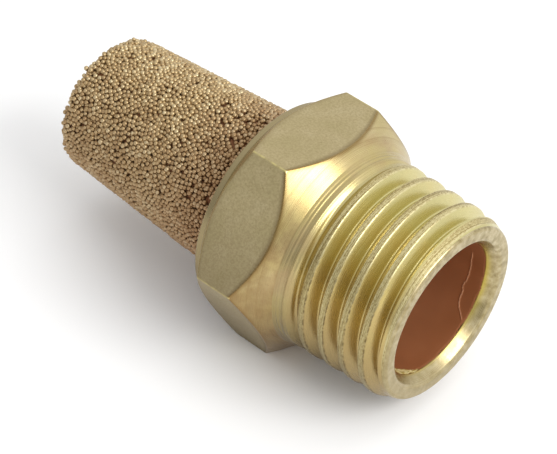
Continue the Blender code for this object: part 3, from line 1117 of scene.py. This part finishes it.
# %% The brown film
def brown_film():
    """A brown film grown or dried on the brass: a soft sheen over an even colour."""
    material, tree, shader = start_material("brown_oxide_film")
    position = add(tree, "TexCoord", "Object", {})
    clouds = add(tree, "TexNoise", "Fac", {"Vector": position, "Scale": per_mm(1.8), "Detail": 3.0})
    browns = [(0.30, "99603b"), (0.55, "9e633d"), (0.8, "a46841")]
    colour = add(tree, "ValToRGB", "Color", {"Fac": clouds}, browns)
    along = add(tree, "SeparateXYZ", "X", {"Vector": position})
    # Painted light: the film is made paler deeper in the bore.
    depths = {"From Min": (MOUTH_X - 1.5) * MM, "From Max": (MOUTH_X - 7.0) * MM, "To Max": 0.45}
    painted_light_deep = add(tree, "MapRange", "Result", {"Value": along, **depths})
    colour = add(tree, "Mix", BLENDED, {HOW_FAR: painted_light_deep, FROM: colour, TO: "c98f68"}, data_type="RGBA")

    seam, worn = [add(tree, "Attribute", "Fac", {}, attribute_name=name) for name in ("seam", "worn")]
    ripple = add(tree, "MapRange", "Result", {"Value": seam, "From Min": 0.3, "To Max": 0.8})
    colour = add(tree, "Mix", BLENDED, {HOW_FAR: ripple, FROM: colour, TO: "d3a07c"}, data_type="RGBA")
    streaks = add(tree, "Mapping", "Vector", {"Vector": position, "Scale": (4.0, 1.0, 1.0)})
    streak = add(tree, "TexNoise", "Fac", {"Vector": streaks, "Scale": per_mm(0.4)})
    rubbed = add(tree, "ValToRGB", "Color", {"Fac": streak}, [(0.40, "b5a052"), (0.60, "ece0a6")])
    colour = add(tree, "Mix", BLENDED, {HOW_FAR: worn, FROM: colour, TO: rubbed}, data_type="RGBA")
    tree.links.new(colour, shader.inputs["Base Color"])

    shader.inputs["Metallic"].default_value = 0.3
    sheen = {"From Min": 0.3, "From Max": 0.7, "To Min": 0.42, "To Max": 0.55}
    tree.links.new(add(tree, "MapRange", "Result", {"Value": clouds, **sheen}), shader.inputs["Roughness"])
    return material


place("bore_film", film_mesh, [brown_film()], None)
print("film's rubbed part:", round(float((worn > 0.5).mean()) * 100, 1), "% of its rows")

# %% [markdown]
# ## The floor
#
# The part lies on one flat on a sheet of matt white paper, as a small metal part is shown in a
# catalogue. The paper has slow, very faint clouds. It is far larger than the part, so that its edge
# is never in view.

# %% Floor
FLOOR_Z = body_low[2] - 0.02
FLOOR_HALF = 400.0
FLOOR_LINES = 21


def floor_mesh():
    spread = np.linspace(-FLOOR_HALF, FLOOR_HALF, FLOOR_LINES)
    fx, fy = np.meshgrid(spread, spread)
    points = np.stack([fx, fy, np.full_like(fx, FLOOR_Z)], -1).reshape(-1, 3)
    i = np.arange(FLOOR_LINES - 1)[:, None]
    j = np.arange(FLOOR_LINES - 1)[None, :]
    corner = i * FLOOR_LINES + j
    quads = np.stack([corner, corner + 1, corner + FLOOR_LINES + 1, corner + FLOOR_LINES], -1)
    return mesh_from_arrays("floor", points, quads.reshape(-1, 4))


def floor_paper():
    """Uncoated white paper: matt, with next to no reflection."""
    material, tree, shader = start_material("matt_white_paper")
    position = add(tree, "TexCoord", "Object", {})
    clouds = add(tree, "TexNoise", "Fac", {"Vector": position, "Scale": per_mm(60.0)})
    colour = add(tree, "ValToRGB", "Color", {"Fac": clouds}, [(0.3, "f8f8f8"), (0.7, "fcfcfc")])
    tree.links.new(colour, shader.inputs["Base Color"])
    shader.inputs["Roughness"].default_value = 0.9
    shader.inputs["Specular IOR Level"].default_value = 0.1
    return material


floor = bpy.data.objects.new("floor", floor_mesh())
floor.data.materials.append(floor_paper())
bpy.context.scene.collection.objects.link(floor)
floor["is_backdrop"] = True
print("floor at Z", round(float(FLOOR_Z), 2), "mm")

# %% [markdown]
# ## The light
#
# Brass needs large, soft light, because all its colour is in what it reflects. Most of it comes
# from a bright surround, which is brighter on one side so that the six flats differ. One softbox,
# on the side the thread points to, draws the bright streak on the chamfer and in the countersink.

# %% Light
BRIGHT_SIDE = (0.45, 0.60, 0.66)
DARKEST = 0.36
BRIGHTEST = 1.17
SOFTBOX_AIM = Vector((-4.0, 0.0, 0.0))
SOFTBOX_DIRECTION = Vector((0.74, 0.0, 0.67))
SOFTBOX_DISTANCE = 240
SOFTBOX_SIZE = (165, 98)
SOFTBOX_WATTS = 0.30

softbox = bpy.data.lights.new("thread_side_light", "AREA")
softbox.shape = "RECTANGLE"
softbox.size, softbox.size_y = [side * MM for side in SOFTBOX_SIZE]
softbox.energy = SOFTBOX_WATTS
lamp = bpy.data.objects.new("thread_side_light", softbox)
outwards = SOFTBOX_DIRECTION.normalized()
lamp.location = (SOFTBOX_AIM + outwards * SOFTBOX_DISTANCE) * MM
lamp.rotation_euler = outwards.to_track_quat("Z", "Y").to_euler()
bpy.context.scene.collection.objects.link(lamp)

world = bpy.data.worlds.new("bright_surround")
world.use_nodes = True
sky = world.node_tree
surround = sky.nodes["Background"]
direction = add(sky, "TexCoord", "Generated", {})
facing = add(sky, "VectorMath", "Value", {0: direction, 1: BRIGHT_SIDE}, operation="DOT_PRODUCT")
levels = {"From Min": -1.0, "To Min": DARKEST, "To Max": BRIGHTEST}
sky.links.new(add(sky, "MapRange", "Result", {"Value": facing, **levels}), surround.inputs["Strength"])
surround.inputs["Color"].default_value = linear("ffffff")
bpy.context.scene.world = world
bpy.context.scene.view_settings.view_transform = "Standard"
print("surround from", DARKEST, "to", BRIGHTEST, "and a softbox of", SOFTBOX_WATTS, "W")

# %% [markdown]
# ## The camera
#
# The camera looks down from the front, with the thread to its right, through a long lens, so that
# the shape is hardly distorted. It is rolled a few degrees, because the real part leans nose down
# on the table while the model lies level.

# %% Camera
VIEW_AZIMUTH = 37.605
VIEW_ELEVATION = 40.442
VIEW_ROLL = 6.07
VIEW_TARGET = Vector((-4.47, -0.95, -0.55))
VIEW_DISTANCE = 132.45
LENS = 135.73
SENSOR_WIDTH = 36.0

azimuth, elevation, roll = [math.radians(v) for v in (VIEW_AZIMUTH, VIEW_ELEVATION, VIEW_ROLL)]
right = Vector((math.cos(azimuth), math.sin(azimuth), 0))
level = math.cos(elevation)
away = Vector((math.sin(azimuth) * level, -math.cos(azimuth) * level, math.sin(elevation)))
up = away.cross(right)
right_rolled = right * math.cos(roll) + up * math.sin(roll)
up_rolled = up * math.cos(roll) - right * math.sin(roll)
turn = Matrix((right_rolled, up_rolled, away)).transposed().to_4x4()
camera = bpy.data.objects.new("camera", bpy.data.cameras.new("camera"))
camera.matrix_world = Matrix.Translation((VIEW_TARGET + away * VIEW_DISTANCE) * MM) @ turn
camera.data.lens = LENS
camera.data.sensor_width = SENSOR_WIDTH
camera.data.clip_start = 1 * MM
bpy.context.scene.collection.objects.link(camera)
bpy.context.scene.camera = camera
print("camera", VIEW_DISTANCE, "mm from its target, lens", LENS, "mm")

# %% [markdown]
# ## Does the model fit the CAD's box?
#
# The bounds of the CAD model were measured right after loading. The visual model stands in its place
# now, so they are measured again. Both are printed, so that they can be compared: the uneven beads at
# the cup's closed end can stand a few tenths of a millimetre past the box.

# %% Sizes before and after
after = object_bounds()


def plain(value):
    """The same values as plain lists and numbers."""
    if isinstance(value, dict):
        return {str(k): plain(v) for k, v in value.items()}
    if isinstance(value, (str, int, float)) or value is None:
        return value
    return [plain(v) for v in value]


{"cad": plain(before), "visual": plain(after)}
print("size before", plain(before), "after", plain(after))
